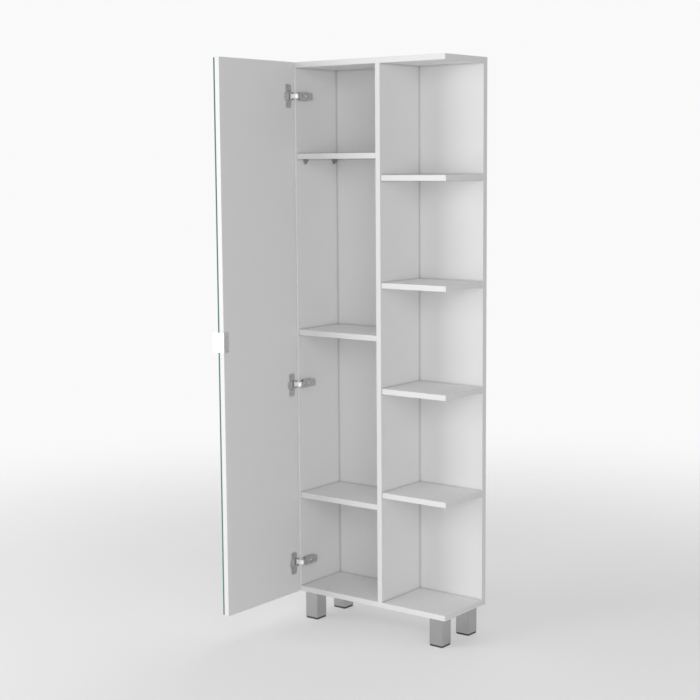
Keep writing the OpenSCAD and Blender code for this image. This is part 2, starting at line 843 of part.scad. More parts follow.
// Profile of the pull from above: flange on the inner face, bend, and grip past the glass
module pull_plan() {
    grip_l = door_t + tape_t + mirror_t + pull_grip;
    translate([door_w - pull_flange_w, 0]) square([pull_flange_w + seat_gap, pull_t]);
    translate([door_w + seat_gap, 0]) intersection() {
        circle(pull_t);
        square(pull_t);
    }
    translate([door_w + seat_gap, -grip_l]) square([pull_t, grip_l]);
}

// The pull: its folded sheet with the grip's outer corners rounded off
module edge_pull() {
    grip_l = door_t + tape_t + mirror_t + pull_grip;
    bright_steel() on_door() difference() {
        translate([0, 0, (door_h - pull_h) / 2]) linear_extrude(pull_h) pull_plan();
        for (s = [-1, 1])
            translate([door_w, -grip_l, door_h / 2 + s * pull_h / 2])
                rotate([0, 90, 0]) linear_extrude(2 * pull_t + past) difference() {
                    square(2 * pull_corner_r, center = true);
                    translate([s * pull_corner_r, pull_corner_r]) circle(pull_corner_r);
                }
        at_pull_screws() pull_screw(seat_gap);
    }
}

module pull_screw(gap = 0) {
    countersunk(pull_screw_head_r, pull_t + 0.5, pull_screw_r, pull_screw_l, gap);
}

module pull_screws() {
    bright_steel() on_door() at_pull_screws() pull_screw();
}

left_side_panel();
divider_panel();
top_panel();
bottom_panel();
back_panel();
fixed_inner_shelf(lower_shelf_z);  // inner_shelf_lower
fixed_inner_shelf(middle_shelf_z);  // inner_shelf_middle
white_board() inner_shelf(upper_shelf_z);  // inner_shelf_upper
open_shelf(0);  // open_shelf_1
open_shelf(1);  // open_shelf_2
open_shelf(2);  // open_shelf_3
open_shelf(3);  // open_shelf_4
shelf_supports();
carcass_screws();
wooden_dowels();
leg(0, 0);  // leg_front_left
leg(1, 0);  // leg_front_right
leg(0, 1);  // leg_rear_left
leg(1, 1);  // leg_rear_right
glide(0, 0);  // glide_front_left
glide(1, 0);  // glide_front_right
glide(0, 1);  // glide_rear_left
glide(1, 1);  // glide_rear_right
leg_plate(0, 0);  // leg_plate_front_left
leg_plate(1, 0);  // leg_plate_front_right
leg_plate(0, 1);  // leg_plate_rear_left
leg_plate(1, 1);  // leg_plate_rear_right
leg_screws();
hinge_plate(0);  // hinge_plate_lower
hinge_plate(1);  // hinge_plate_middle
hinge_plate(2);  // hinge_plate_upper
hinge_arm(0);  // hinge_arm_lower
hinge_arm(1);  // hinge_arm_middle
hinge_arm(2);  // hinge_arm_upper
hinge_plate_screws();
arm_fixing_screws();
arm_adjusting_screws();
door_panel();
door_mirror();
mirror_tape();
hinge_cup(0);  // hinge_cup_lower
hinge_cup(1);  // hinge_cup_middle
hinge_cup(2);  // hinge_cup_upper
hinge_pins();
cup_screws();
edge_pull();
pull_screws();
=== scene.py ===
"""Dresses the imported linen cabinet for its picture.

The frame brings every solid of the cabinet in place and in metres. Boards, glass and fittings are
shown by copies of their own meshes with the edges eased, the screw heads get the drives that turn
them, the door mirror gets its silvering, and every finish is a node material. A pale floor, the
even light of a room and three broad lamps stand for the studio.
"""

import json
import logging
import math
from dataclasses import dataclass, field
from enum import Enum
from functools import cached_property
from typing import Iterable

import bmesh
import bpy
from mathutils import Matrix, Vector


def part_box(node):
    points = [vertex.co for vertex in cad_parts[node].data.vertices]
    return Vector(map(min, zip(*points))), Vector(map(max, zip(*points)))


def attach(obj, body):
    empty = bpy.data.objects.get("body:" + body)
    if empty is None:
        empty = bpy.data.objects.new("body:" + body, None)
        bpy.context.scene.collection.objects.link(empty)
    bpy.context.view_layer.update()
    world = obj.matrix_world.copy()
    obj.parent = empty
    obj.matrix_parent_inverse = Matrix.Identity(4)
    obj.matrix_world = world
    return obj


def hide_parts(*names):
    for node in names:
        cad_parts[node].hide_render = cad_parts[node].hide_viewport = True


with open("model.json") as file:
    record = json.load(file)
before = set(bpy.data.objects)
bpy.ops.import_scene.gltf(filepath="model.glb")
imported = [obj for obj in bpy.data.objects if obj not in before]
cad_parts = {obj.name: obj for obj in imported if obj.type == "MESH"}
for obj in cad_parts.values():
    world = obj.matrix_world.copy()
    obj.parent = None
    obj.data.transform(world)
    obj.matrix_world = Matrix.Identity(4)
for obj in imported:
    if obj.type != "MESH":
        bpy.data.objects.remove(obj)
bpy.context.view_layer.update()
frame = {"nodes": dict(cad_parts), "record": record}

Colour = tuple[float, float, float]
Place = tuple[float, float, float]
Span = tuple[float, float]

LOG = logging.getLogger("linen_cabinet")
MM = 0.001
WELD = 0.002 * MM
FLAT_ANGLE = math.radians(0.6)
SHARP_ANGLE = math.radians(40)
ROUND_PROFILE = 0.5
BROAD_FACE_WEIGHT = 100

WHITE: Colour = (1.0, 1.0, 1.0)
UNIT: Span = (0.0, 1.0)
NOISE_SPAN: Span = (0.3, 0.7)
MIDDLE = 0.5
PLAIN, SOFT, FINE, FINEST = 1.0, 2.0, 3.0, 4.0

FLOAT = "NodeSocketFloat"
COLOUR = "NodeSocketColor"
VECTOR = "NodeSocketVector"


class Body(str, Enum):
    """The two rigid bodies of the cabinet."""

    CABINET = "cabinet"
    DOOR = "door"


class Slot(str, Enum):
    """The material slots of the record."""

    WHITE_BOARD = "white_board"
    SUPPORT_PLASTIC = "support_plastic"
    ZINC_STEEL = "zinc_steel"
    BEECH = "beech"
    LEG_ALUMINIUM = "leg_aluminium"
    BLACK_PLASTIC = "black_plastic"
    NICKEL_STEEL = "nickel_steel"
    MIRROR_GLASS = "mirror_glass"
    FOAM_TAPE = "foam_tape"
    PULL_METAL = "pull_metal"


class Drive(Enum):
    """The recess in a screw head that the driver fits."""

    HEXAGON = "hexagon"
    CROSS = "cross"


# Shader graphs


class Graph:
    """A node tree with short ways to add, feed and join its nodes."""

    def __init__(self, tree: bpy.types.NodeTree) -> None:
        """Starts with an empty tree.

        Args:
            tree: The tree of a material, a world or a group.
        """
        self.tree = tree
        self.tree.nodes.clear()

    def feed(self, socket: bpy.types.NodeSocket, value: object) -> None:
        """Joins a socket to another one, or sets its plain value.

        Args:
            socket: The input that is fed.
            value: An output socket, a number, a colour or a vector.
        """
        if isinstance(value, bpy.types.NodeSocket):
            self.tree.links.new(value, socket)
        elif socket.type == "RGBA":
            socket.default_value = (*value, 1.0)
        else:
            socket.default_value = value

    def fill(self, node: bpy.types.Node, inputs: dict) -> None:
        """Feeds some inputs of a node, which are given by their names or places."""
        for place, value in inputs.items():
            self.feed(node.inputs[place], value)

    def add(self, kind: str, inputs: dict | None = None, **settings: object) -> bpy.types.Node:
        """Adds a node.

        Args:
            kind: Type of the node.
            inputs: What goes into its sockets, by their names or places.
            **settings: Properties of the node.

        Returns:
            The new node.
        """
        made = self.tree.nodes.new(kind)
        for name, value in settings.items():
            setattr(made, name, value)
        self.fill(made, inputs or {})
        return made

    def spot(self) -> bpy.types.NodeSocket:
        """Reads where a point of the surface lies, in metres."""
        return self.add("ShaderNodeTexCoord").outputs["Object"]

    def stretched(self, spot: object, by: object) -> bpy.types.NodeSocket:
        """Scales a place along each axis, which draws out what is read there."""
        return self.add("ShaderNodeVectorMath", {0: spot, 1: by}, operation="MULTIPLY").outputs[0]

    def maths(self, kind: str, first: object, second: object) -> bpy.types.NodeSocket:
        """Joins two numbers by an operation of the Math node."""
        return self.add("ShaderNodeMath", {0: first, 1: second}, operation=kind).outputs[0]

    def scaled(self, value: object, factor: object, offset: object) -> bpy.types.NodeSocket:
        """Multiplies a value and adds an offset to it."""
        return self.maths("ADD", self.maths("MULTIPLY", value, factor), offset)

    def weighed(self, first: object, second: object, share: float) -> bpy.types.NodeSocket:
        """Joins two values, of which the second has the given share."""
        return self.maths("ADD", self.maths("MULTIPLY", first, 1.0 - share),
                          self.maths("MULTIPLY", second, share))

    def remap(self, value: object, source: Span, target: Span = UNIT) -> bpy.types.NodeSocket:
        """Carries a value from one range to another, held inside it."""
        inputs = dict(enumerate((value, *source, *target)))
        return self.add("ShaderNodeMapRange", inputs, clamp=True).outputs[0]

    def noise(self, spot: object, waves: object, detail: float = SOFT,
              warp: float = 0.0) -> bpy.types.NodeSocket:
        """Reads noise around 0.5 that has so many waves to the metre."""
        inputs = {"Vector": spot, "Scale": waves, "Detail": detail, "Distortion": warp}
        return self.add("ShaderNodeTexNoise", inputs).outputs[0]

    def cells(self, spot: object, waves: object) -> tuple[bpy.types.NodeSocket, ...]:
        """Splits space into cells.

        Args:
            spot: Where they are read.
            waves: How many there are to the metre.

        Returns:
            The tone of each cell, and the distance from its middle.
        """
        made = self.add("ShaderNodeTexVoronoi", {"Vector": spot, "Scale": waves})
        tone = self.add("ShaderNodeSeparateColor", {0: made.outputs["Color"]}).outputs[0]
        return tone, made.outputs["Distance"]

    def blend(self, share: object, low: object, high: object) -> bpy.types.NodeSocket:
        """Mixes two colours.

        Args:
            share: 0 gives the first colour and 1 the second.
            low: The first colour.
            high: The second colour.

        Returns:
            The mixed colour.
        """
        node = self.add("ShaderNodeMix", data_type="RGBA")
        for identifier, value in (("Factor_Float", share), ("A_Color", low), ("B_Color", high)):
            self.feed(next(s for s in node.inputs if s.identifier == identifier), value)
        return next(s for s in node.outputs if s.identifier == "Result_Color")

    def brighter(self, colour: object, amount: object) -> bpy.types.NodeSocket:
        """Scales the brightness of a colour, which 1 leaves as it is."""
        inputs = {"Value": amount, "Color": colour}
        return self.add("ShaderNodeHueSaturation", inputs).outputs[0]

    def drifting(self, colour: Colour, waves: float, shift: float,
                 detail: float = SOFT) -> bpy.types.NodeSocket:
        """Lets the brightness of a colour drift a little over a surface.

        Args:
            colour: The colour.
            waves: Waves of the drift to the metre.
            shift: How far its darkest and lightest are apart.
            detail: Number of finer layers.

        Returns:
            The drifting colour.
        """
        swing = (1.0 - shift / 2, 1.0 + shift / 2)
        drift = self.noise(self.spot(), waves, detail)
        return self.brighter(colour, self.remap(drift, NOISE_SPAN, swing))


class GroupGraph(Graph):
    """The tree of a node group, with the sockets that go in and out."""

    def __init__(self, tree: bpy.types.NodeTree) -> None:
        """Starts with the group's two ends.

        Args:
            tree: The group's tree, whose sockets are named.
        """
        super().__init__(tree)
        self.given = self.add("NodeGroupInput").outputs
        self.wanted = self.add("NodeGroupOutput").inputs


class MaterialGraph(Graph):
    """The tree of a material, with the shader that its surface takes."""

    def __init__(self, tree: bpy.types.NodeTree) -> None:
        """Starts with a plain shader on the surface.

        Args:
            tree: The material's tree.
        """
        super().__init__(tree)
        self.shader = self.add("ShaderNodeBsdfPrincipled")
        self.add("ShaderNodeOutputMaterial", {"Surface": self.shader.outputs[0]})


# Effects


class Effect:
    """An effect shared by several materials, kept as one shader node group."""

    name = "effect"
    inputs: tuple[tuple[str, str], ...] = ()
    outputs: tuple[tuple[str, str], ...] = ()

    def group(self) -> bpy.types.NodeTree:
        """Makes the group the first time and finds it after that.

        Returns:
            The node group.
        """
        found = bpy.data.node_groups.get(self.name)
        if found:
            return found
        tree = bpy.data.node_groups.new(self.name, "ShaderNodeTree")
        for way, sockets in (("INPUT", self.inputs), ("OUTPUT", self.outputs)):
            for name, kind in sockets:
                tree.interface.new_socket(name, in_out=way, socket_type=kind)
        self.build(GroupGraph(tree))
        return tree

    def build(self, graph: GroupGraph) -> None:
        """Fills the group."""
        raise NotImplementedError

    def place(self, graph: Graph, **values: object) -> list[bpy.types.NodeSocket]:
        """Puts the group in a material.

        Args:
            graph: The material's tree.
            **values: What its inputs get, with _ for a space.

        Returns:
            The group's outputs in turn.
        """
        inputs = {name.replace("_", " "): value for name, value in values.items()}
        node = graph.add("ShaderNodeGroup", inputs, node_tree=self.group())
        return [node.outputs[name] for name, _ in self.outputs]


class Grain(Effect):
    """A grain that shifts the tone and the gloss, and stands proud by a hair."""

    inputs = (("Tint", COLOUR), ("Tone Shift", FLOAT), ("Gloss", FLOAT), ("Gloss Shift", FLOAT))
    outputs = (("Colour", COLOUR), ("Roughness", FLOAT), ("Height", FLOAT))

    def vary(self, graph: GroupGraph, tone: object, shine: object, height: object) -> None:
        """Feeds the outputs.

        Args:
            graph: The group's tree.
            tone: Number around 0.5 that lightens and darkens.
            shine: Number around 0.5 that dulls and polishes.
            height: Height of the relief, from 0 to 1.
        """
        given, wanted = graph.given, graph.wanted
        light, dull = (graph.maths("SUBTRACT", value, MIDDLE) for value in (tone, shine))
        shift = graph.scaled(light, given["Tone Shift"], 1.0)
        graph.feed(wanted["Colour"], graph.brighter(given["Tint"], shift))
        graph.feed(wanted["Roughness"], graph.scaled(dull, given["Gloss Shift"], given["Gloss"]))
        graph.feed(wanted["Height"], height)


class MouldedGrain(Grain):
    """The fine pebble of melamine, lacquer and moulded plastic, with a slow drift of tone."""

    name = "moulded_grain"
    inputs = (*Grain.inputs, ("Pebbles", FLOAT))
    drift_waves = 3.5
    pebble_share = 0.3
    relief = (0.35, 0.65)

    def build(self, graph: GroupGraph) -> None:
        """Joins slow tone, fine pebbles and their shine.

        Args:
            graph: The group's tree.
        """
        spot = graph.spot()
        drift = graph.noise(spot, self.drift_waves, FINE)
        fine = graph.noise(spot, graph.given["Pebbles"], FINE)
        self.vary(graph, graph.weighed(drift, fine, self.pebble_share), fine,
                  graph.remap(fine, self.relief))


class DrawnLines(Grain):
    """The fine parallel lines of brushed or drawn metal."""

    name = "drawn_lines"
    inputs = (*Grain.inputs, ("Lines", FLOAT), ("Stretch", VECTOR))
    cloud_waves = 45.0
    cloud_share = 0.25

    def build(self, graph: GroupGraph) -> None:
        """Reads noise that is drawn out along one direction, under a faint cloud.

        Args:
            graph: The group's tree.
        """
        spot = graph.spot()
        drawn = graph.stretched(spot, graph.given["Stretch"])
        line = graph.noise(drawn, graph.given["Lines"], FINEST)
        both = graph.weighed(line, graph.noise(spot, self.cloud_waves), self.cloud_share)
        self.vary(graph, both, both, graph.remap(line, NOISE_SPAN))


class Spangle(Grain):
    """The small crystals of a plated coat, each a little lighter or darker."""

    name = "plated_spangle"
    inputs = (*Grain.inputs, ("Crystals", FLOAT))
    grime_waves = 160.0
    grime_share = 0.5

    def build(self, graph: GroupGraph) -> None:
        """Gives each crystal a tone and a shine of its own.

        Args:
            graph: The group's tree.
        """
        spot = graph.spot()
        crystal, _ = graph.cells(spot, graph.given["Crystals"])
        grime = graph.noise(spot, self.grime_waves, FINE)
        both = graph.weighed(crystal, grime, self.grime_share)
        self.vary(graph, both, both, grime)


class HandMarks(Effect):
    """The faint dull smears that hands and a cloth leave on glass and bright metal."""

    name = "hand_marks"
    inputs = (("Gloss", FLOAT), ("Dulling", FLOAT), ("Smears", FLOAT))
    outputs = (("Roughness", FLOAT),)
    warp = 1.6
    crests = (0.52, 0.72)

    def build(self, graph: GroupGraph) -> None:
        """Reads warped noise and keeps its crests as smears.

        Args:
            graph: The group's tree.
        """
        given = graph.given
        smear = graph.noise(graph.spot(), given["Smears"], FINEST, self.warp)
        dulled = graph.scaled(graph.remap(smear, self.crests), given["Dulling"], given["Gloss"])
        graph.feed(graph.wanted["Roughness"], dulled)


class PaintedCornerShade(Effect):
    """Painted shade: a dim line darkened into the colour where two faces meet inwards."""

    name = "painted_corner_shade"
    inputs = (("Tint", COLOUR), ("Depth", FLOAT), ("Reach", FLOAT))
    outputs = (("Colour", COLOUR),)
    probes = 8

    def build(self, graph: GroupGraph) -> None:
        """Paints shade into the tint by how closely other faces stand around.

        Args:
            graph: The group's tree.
        """
        given = graph.given
        opening = graph.add("ShaderNodeAmbientOcclusion", {"Distance": given["Reach"]},
                            samples=self.probes)
        closed = graph.maths("SUBTRACT", 1.0, opening.outputs["AO"])
        kept = graph.maths("SUBTRACT", 1.0, graph.maths("MULTIPLY", closed, given["Depth"]))
        graph.feed(graph.wanted["Colour"], graph.brighter(given["Tint"], kept))


class PressedChips(Effect):
    """Pressed wood chips, as a bore through a board shows them."""

    name = "pressed_chips"
    inputs = (("Light", COLOUR), ("Dark", COLOUR), ("Chips", FLOAT))
    outputs = (("Colour", COLOUR), ("Height", FLOAT))
    warp_waves = 300.0
    warp_reach = 2.0 * MM

    def build(self, graph: GroupGraph) -> None:
        """Gives each chip its own shade between light and dark.

        Args:
            graph: The group's tree.
        """
        spot, given = graph.spot(), graph.given
        warp = graph.add("ShaderNodeTexNoise", {"Vector": spot, "Scale": self.warp_waves})
        inputs = {0: warp.outputs[1], 1: (self.warp_reach,) * 3, 2: spot}
        bent = graph.add("ShaderNodeVectorMath", inputs, operation="MULTIPLY_ADD").outputs[0]
        chip, height = graph.cells(bent, given["Chips"])
        graph.feed(graph.wanted["Colour"], graph.blend(chip, given["Light"], given["Dark"]))
        graph.feed(graph.wanted["Height"], height)


class WoodFibre(Effect):
    """Straight fibres of turned beech, with its short dark flecks."""

    name = "wood_fibre"
    inputs = (("Light", COLOUR), ("Dark", COLOUR), ("Fibres", FLOAT))
    outputs = (("Colour", COLOUR), ("Height", FLOAT))
    stretch = (0.08, 1.0, 1.0)
    fleck_waves = 900.0
    fleck_crests = (0.62, 0.72)
    fleck_shades = (0.0, 0.6)

    def build(self, graph: GroupGraph) -> None:
        """Reads noise drawn out along the dowels, with flecks on top.

        Args:
            graph: The group's tree.
        """
        given = graph.given
        drawn = graph.stretched(graph.spot(), self.stretch)
        fibre = graph.noise(drawn, given["Fibres"], FINEST)
        fleck = graph.remap(graph.noise(drawn, self.fleck_waves, PLAIN), self.fleck_crests,
                            self.fleck_shades)
        share = graph.maths("MAXIMUM", fibre, fleck)
        graph.feed(graph.wanted["Colour"], graph.blend(share, given["Light"], given["Dark"]))
        graph.feed(graph.wanted["Height"], fibre)


# Finishes


@dataclass(frozen=True)
class Finish:
    """A surface finish that becomes one node material."""

    name: str
    tint: Colour
    gloss: float = 0.45
    tone_shift: float = 0.03
    gloss_shift: float = 0.1
    bump: float = 0.15
    bump_depth: float = 0.02 * MM

    def material(self) -> bpy.types.Material:
        """Makes the material the first time and finds it after that.

        Returns:
            The node material.
        """
        found = bpy.data.materials.get(self.name)
        if found:
            return found
        made = bpy.data.materials.new(self.name)
        made.use_nodes = True
        made.diffuse_color = (*self.tint, 1.0)
        self.paint(MaterialGraph(made.node_tree))
        return made

    def paint(self, graph: MaterialGraph) -> None:
        """Fills the material."""
        raise NotImplementedError

    def wear(self, graph: MaterialGraph, colour: object, roughness: object,
             height: object) -> None:
        """Feeds the shader's colour, roughness and fine relief.

        Args:
            graph: The material's tree.
            colour: The colour.
            roughness: The roughness.
            height: Height of the relief, from 0 to 1.
        """
        inputs = {"Strength": self.bump, "Distance": self.bump_depth, "Height": height}
        relief = graph.add("ShaderNodeBump", inputs).outputs[0]
        graph.fill(graph.shader, {"Base Color": colour, "Roughness": roughness,
                                  "Normal": relief})

    def grained(self, graph: MaterialGraph, grain: Grain,
                **values: object) -> list[bpy.types.NodeSocket]:
        """Places a grain with the finish's own tint, gloss and shifts."""
        return grain.place(graph, Tint=self.tint, Tone_Shift=self.tone_shift, Gloss=self.gloss,
                           Gloss_Shift=self.gloss_shift, **values)

    def dulled(self, graph: MaterialGraph, value: object, source: Span) -> bpy.types.NodeSocket:
        """Lets the roughness rise with a value, from the gloss by its shift."""
        return graph.remap(value, source, (self.gloss, self.gloss + self.gloss_shift))


@dataclass(frozen=True)
class Moulded(Finish):
    """Melamine, edging, lacquer or moulded plastic."""

    pebbles: float = 900.0
    shine: float = 0.5
    painted_shade_depth: float = 0.0
    painted_shade_reach: float = 6.5 * MM

    def paint(self, graph: MaterialGraph) -> None:
        """Lays the moulded grain over a plain dielectric, with painted shade in its inner
        corners.

        Args:
            graph: The material's tree.
        """
        colour, roughness, height = self.grained(graph, MouldedGrain(), Pebbles=self.pebbles)
        # Painted shade: the colour is darkened where other faces close in.
        if self.painted_shade_depth:
            colour, = PaintedCornerShade().place(graph, Tint=colour, Depth=self.painted_shade_depth,
                                           Reach=self.painted_shade_reach)
        self.wear(graph, colour, roughness, height)
        graph.fill(graph.shader, {"Specular IOR Level": self.shine})


@dataclass(frozen=True)
class Brushed(Finish):
    """Metal with fine lines drawn along one direction."""

    lines: float = 2600.0
    stretch: tuple[float, float, float] = (1.0, 1.0, 0.02)

    def paint(self, graph: MaterialGraph) -> None:
        """Lays drawn lines over bare metal.

        Args:
            graph: The material's tree.
        """
        graph.fill(graph.shader, {"Metallic": 1.0})
        self.wear(graph, *self.grained(graph, DrawnLines(), Lines=self.lines,
                                       Stretch=self.stretch))


@dataclass(frozen=True)
class Plated(Finish):
    """Steel under a coat of zinc or nickel."""

    crystals: float = 1400.0

    def paint(self, graph: MaterialGraph) -> None:
        """Lays a spangle over bare metal."""
        graph.fill(graph.shader, {"Metallic": 1.0})
        self.wear(graph, *self.grained(graph, Spangle(), Crystals=self.crystals))


@dataclass(frozen=True)
class Silvered(Finish):
    """The mirror's face: silver seen through clear glass."""

    smears: float = 9.0
    drift_waves: float = 2.0

    def paint(self, graph: MaterialGraph) -> None:
        """Lays hand marks over a bright reflecting coat.

        Args:
            graph: The material's tree.
        """
        marks, = HandMarks().place(graph, Gloss=self.gloss, Dulling=self.gloss_shift,
                                   Smears=self.smears)
        tint = graph.drifting(self.tint, self.drift_waves, self.tone_shift)
        graph.fill(graph.shader, {"Metallic": 1.0, "Base Color": tint, "Roughness": marks})


@dataclass(frozen=True)
class GlassEdge(Finish):
    """The polished edge of a pane, bright green in the middle, with painted shade in deep green
    at its rims.
    """

    pane: str = "door_mirror"
    # Deep green of the painted shade at both rims.
    rim_shade: Colour = (0.05, 0.2, 0.12)
    rim_shade_share: float = 0.3
    grind_waves: float = 700.0

    def paint(self, graph: MaterialGraph) -> None:
        """Runs the green from one rim to the other across the pane's thickness, with painted
        shade at both rims.

        Args:
            graph: The material's tree.
        """
        outer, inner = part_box(self.pane)
        spot = graph.spot()
        x = graph.add("ShaderNodeSeparateXYZ", {0: spot}).outputs["X"]
        ramp = graph.add("ShaderNodeValToRGB", {0: graph.remap(x, (outer.x, inner.x))})
        # Painted shade: the stops darken the green at both rims.
        stops = ((0.0, self.rim_shade), (self.rim_shade_share, self.tint),
                 (1.0 - self.rim_shade_share, self.tint), (1.0, self.rim_shade))
        while len(ramp.color_ramp.elements) < len(stops):
            ramp.color_ramp.elements.new(MIDDLE)
        for stop, (where, colour) in zip(ramp.color_ramp.elements, stops):
            stop.position = where
            stop.color = (*colour, 1.0)
        grind = graph.noise(spot, self.grind_waves, FINE)
        self.wear(graph, ramp.outputs[0], self.dulled(graph, grind, NOISE_SPAN), grind)


@dataclass(frozen=True)
class Chipboard(Finish):
    """The raw core of a board where it is bored."""

    dark: Colour = (0.36, 0.24, 0.14)
    chips: float = 420.0
    chip_span: Span = (0.0, 0.6)

    def paint(self, graph: MaterialGraph) -> None:
        """Lays pressed chips over a dry dull surface.

        Args:
            graph: The material's tree.
        """
        colour, height = PressedChips().place(graph, Light=self.tint, Dark=self.dark,
                                              Chips=self.chips)
        self.wear(graph, colour, self.dulled(graph, height, self.chip_span), height)


@dataclass(frozen=True)
class TurnedWood(Finish):
    """The beech of the dowels."""

    dark: Colour = (0.42, 0.26, 0.14)
    fibres: float = 700.0

    def paint(self, graph: MaterialGraph) -> None:
        """Lays straight fibres over a dull surface.

        Args:
            graph: The material's tree.
        """
        colour, height = WoodFibre().place(graph, Light=self.tint, Dark=self.dark,
                                           Fibres=self.fibres)
        self.wear(graph, colour, self.dulled(graph, height, NOISE_SPAN), height)


@dataclass(frozen=True)
class FloorPaint(Finish):
    """A pale matt floor that fades into the backdrop."""

    shine: float = 0.2
    drift_waves: float = 1.5
    veil: float = 0.3
    fade_from: float = 0.3
    fade_to: float = 3.4

    def paint(self, graph: MaterialGraph) -> None:
        """Lays a drifting tint that thins out away from the cabinet.

        Args:
            graph: The material's tree.
        """
        away = graph.add("ShaderNodeVectorMath", {0: graph.spot()}, operation="LENGTH")
        reach = {0: away.outputs["Value"], 1: self.fade_from, 2: self.fade_to, 3: self.veil}
        fade = graph.add("ShaderNodeMapRange", reach, interpolation_type="SMOOTHERSTEP")
        tint = graph.drifting(self.tint, self.drift_waves, self.tone_shift, FINE)
        graph.fill(graph.shader, {
            "Base Color": tint, "Roughness": self.gloss, "Specular IOR Level": self.shine,
            "Alpha": graph.maths("SUBTRACT", 1.0, fade.outputs[0])})


@dataclass(frozen=True)
class Finishes:
    """Every finish on the cabinet."""

    # The melamine's corner settings paint shade into its inner corners.
    melamine: Finish = Moulded("satin_white_melamine", (0.868, 0.868, 0.868), gloss=0.5,
                               tone_shift=0.02, pebbles=1100.0, bump=0.2,
                               painted_shade_depth=0.55)
    edging: Finish = Moulded("white_edging", (0.887, 0.887, 0.887), gloss=0.42,
                             tone_shift=0.015, pebbles=700.0, bump=0.12, shine=0.32)
    # A lit copy of the edging, whiter, which paints light on the left side panel's edges.
    painted_light_edging: Finish = Moulded("painted_light_white_edging", (0.97, 0.97, 0.97), gloss=0.3,
                                    tone_shift=0.015, pebbles=700.0, bump=0.12)
    core: Finish = Chipboard("pressed_chip_core", (0.68, 0.52, 0.34), gloss=0.75,
                             gloss_shift=0.15, bump=0.5, bump_depth=0.2 * MM)
    support: Finish = Moulded("grey_support_plastic", (0.29, 0.29, 0.295), gloss=0.42,
                              tone_shift=0.08, pebbles=1500.0, bump=0.25)
    zinc: Finish = Plated("zinc_plate", (0.6, 0.61, 0.62), gloss=0.34, tone_shift=0.35,
                          gloss_shift=0.3, bump=0.1)
    nickel: Finish = Plated("nickel_plate", (0.63, 0.63, 0.62), gloss=0.3, tone_shift=0.12,
                            gloss_shift=0.16, bump=0.06, crystals=2400.0)
    # A lit copy of the nickel: painted highlight on the open stretch of the hinge straps.
    painted_highlight_nickel: Finish = Plated("painted_highlight_nickel_plate", (0.98, 0.98, 0.98), gloss=0.8,
                                   tone_shift=0.03, gloss_shift=0.06, bump=0.02)
    # A shaded copy of the nickel: painted shade where the hinge parts sink into the door.
    painted_shade_nickel: Finish = Plated("painted_shade_nickel_plate", (0.58, 0.58, 0.57), gloss=0.72,
                                 tone_shift=0.12, gloss_shift=0.16, bump=0.06, crystals=2400.0)
    leg: Finish = Brushed("satin_leg_aluminium", (0.46, 0.46, 0.46), gloss=0.2,
                          tone_shift=0.08, gloss_shift=0.14, bump=0.06)
    pull: Finish = Brushed("satin_pull_metal", (0.58, 0.58, 0.58), gloss=0.3, tone_shift=0.08,
                           gloss_shift=0.2, bump=0.08, lines=3200.0)
    black: Finish = Moulded("black_moulded_plastic", (0.03, 0.03, 0.03), gloss=0.5,
                            tone_shift=0.2, pebbles=1300.0, bump=0.3)
    beech: Finish = TurnedWood("turned_beech", (0.67, 0.49, 0.31), gloss=0.6,
                               gloss_shift=0.12, bump=0.2)
    foam: Finish = Moulded("foam_tape", (0.75, 0.75, 0.74), gloss=0.8, tone_shift=0.06,
                           pebbles=2600.0, bump=0.5, bump_depth=0.1 * MM)
    silver: Finish = Silvered("mirror_silvering", (0.855, 0.873, 0.866), gloss=0.012,
                              gloss_shift=0.05)
    glass_edge: Finish = GlassEdge("polished_glass_edge", (0.2, 0.64, 0.4), gloss=0.12,
                                   bump=0.05)
    backing: Finish = Moulded("mirror_backing_paint", (0.33, 0.34, 0.35), gloss=0.55,
                              tone_shift=0.06)

    def for_slot(self, slot: Slot) -> Finish:
        """Picks the finish of a material slot.

        Args:
            slot: The record's slot.

        Returns:
            Its finish.
        """
        return {
            Slot.WHITE_BOARD: self.melamine, Slot.SUPPORT_PLASTIC: self.support,
            Slot.ZINC_STEEL: self.zinc, Slot.BEECH: self.beech, Slot.LEG_ALUMINIUM: self.leg,
            Slot.BLACK_PLASTIC: self.black, Slot.NICKEL_STEEL: self.nickel,
            Slot.MIRROR_GLASS: self.silver, Slot.FOAM_TAPE: self.foam, Slot.PULL_METAL: self.pull,
        }[slot]


# Meshes


def skin_of(node: str) -> bmesh.types.BMesh:
    """Copies a CAD node's mesh, closed and with its flat faces joined.

    Args:
        node: Name of the CAD node.

    Returns:
        The copy, which the caller frees.
    """
    work = bmesh.new()
    work.from_mesh(frame["nodes"][node].data)
    for layer in list(work.loops.layers.uv):
        work.loops.layers.uv.remove(layer)
    bmesh.ops.remove_doubles(work, verts=work.verts, dist=WELD)
    bmesh.ops.dissolve_limit(work, angle_limit=FLAT_ANGLE, verts=work.verts, edges=work.edges)
    bmesh.ops.recalc_face_normals(work, faces=work.faces)
    return work


def ease_edges(work: bmesh.types.BMesh, edges: list[bmesh.types.BMEdge], reach: float,
               steps: int) -> None:
    """Rounds or chamfers edges.

    Args:
        work: The mesh.
        edges: The edges to ease.
        reach: How far the ease goes from each edge.
        steps: 1 for a chamfer, and more for a round.
    """
    bmesh.ops.bevel(work, geom=edges, offset=reach, offset_type="OFFSET", segments=steps,
                    profile=ROUND_PROFILE, affect="EDGES", clamp_overlap=True)


def mark_sharp(work: bmesh.types.BMesh) -> None:
    """Makes the faces smooth and keeps the corners between them sharp.

    Args:
        work: The mesh to mark.
    """
    for face in work.faces:
        face.smooth = True
    for edge in work.edges:
        edge.smooth = edge.is_manifold and edge.calc_face_angle(0.0) < SHARP_ANGLE


